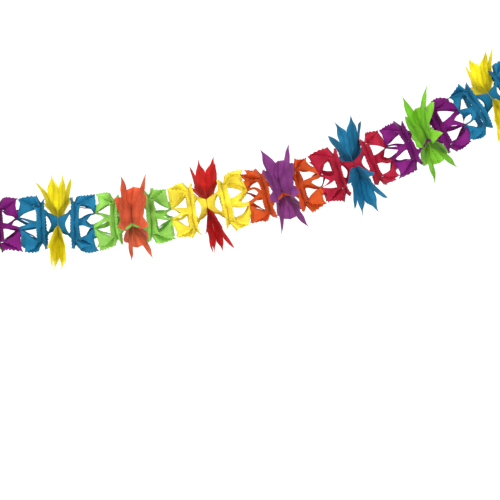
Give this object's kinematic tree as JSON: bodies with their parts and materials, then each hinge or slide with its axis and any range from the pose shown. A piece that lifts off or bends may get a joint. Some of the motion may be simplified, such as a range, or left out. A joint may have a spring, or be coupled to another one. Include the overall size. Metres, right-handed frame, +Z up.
{
  "type": "paper garland",
  "caption": "Strand of honeycomb tissue-paper cells with spiky paper flowers in mixed colours, hung in a rising curve between two punched end cards.",
  "frame": {"origin": "centre of the left end card's hanging hole, in the face of the card that the paper is glued to", "axes": "+X along the strand at its left end, towards the right end; +Z up; -Y is the side it is looked at from"},
  "size_m": [1.092, 0.185, 0.4109],
  "materials": {
    "tissue_purple": "dyed tissue, matt",
    "tissue_blue": "dyed tissue, matt",
    "tissue_green": "dyed tissue, matt",
    "tissue_yellow": "dyed tissue, matt",
    "tissue_orange": "dyed tissue, matt",
    "tissue_crimson": "dyed tissue, matt",
    "tissue_violet": "dyed tissue, matt",
    "tissue_coral": "dyed tissue, matt",
    "tissue_red": "dyed tissue, matt",
    "end_card": "plain card, matt"
  },
  "bodies": {
    "root": {"unit_1_purple_outer_left": "tissue_purple", "unit_1_purple_inner_left": "tissue_purple", "unit_1_green_flower_left": "tissue_green", "unit_1_purple_outer_right": "tissue_purple", "unit_1_purple_inner_right": "tissue_purple", "unit_1_green_flower_right": "tissue_green", "unit_2_blue_outer_left": "tissue_blue", "unit_2_blue_inner_left": "tissue_blue", "unit_2_yellow_flower_left": "tissue_yellow", "unit_2_blue_outer_right": "tissue_blue", "unit_2_blue_inner_right": "tissue_blue", "unit_2_yellow_flower_right": "tissue_yellow", "unit_3_green_outer_left": "tissue_green", "unit_3_green_inner_left": "tissue_green", "unit_3_coral_flower_left": "tissue_coral", "unit_3_green_outer_right": "tissue_green", "unit_3_green_inner_right": "tissue_green", "unit_3_coral_flower_right": "tissue_coral", "unit_4_yellow_outer_left": "tissue_yellow", "unit_4_yellow_inner_left": "tissue_yellow", "unit_4_red_flower_left": "tissue_red", "unit_4_yellow_outer_right": "tissue_yellow", "unit_4_yellow_inner_right": "tissue_yellow", "unit_4_red_flower_right": "tissue_red", "unit_5_orange_outer_left": "tissue_orange", "unit_5_orange_inner_left": "tissue_orange", "unit_5_violet_flower_left": "tissue_violet", "unit_5_orange_outer_right": "tissue_orange", "unit_5_orange_inner_right": "tissue_orange", "unit_5_violet_flower_right": "tissue_violet", "unit_6_crimson_outer_left": "tissue_crimson", "unit_6_crimson_inner_left": "tissue_crimson", "unit_6_blue_flower_left": "tissue_blue", "unit_6_crimson_outer_right": "tissue_crimson", "unit_6_crimson_inner_right": "tissue_crimson", "unit_6_blue_flower_right": "tissue_blue", "unit_7_purple_outer_left": "tissue_purple", "unit_7_purple_inner_left": "tissue_purple", "unit_7_green_flower_left": "tissue_green", "unit_7_purple_outer_right": "tissue_purple", "unit_7_purple_inner_right": "tissue_purple", "unit_7_green_flower_right": "tissue_green", "unit_8_blue_outer_left": "tissue_blue", "unit_8_blue_inner_left": "tissue_blue", "unit_8_yellow_flower_left": "tissue_yellow", "unit_8_blue_outer_right": "tissue_blue", "unit_8_blue_inner_right": "tissue_blue", "unit_8_yellow_flower_right": "tissue_yellow", "end_card_left": "end_card", "end_card_right": "end_card"}
  },
  "joints": []
}
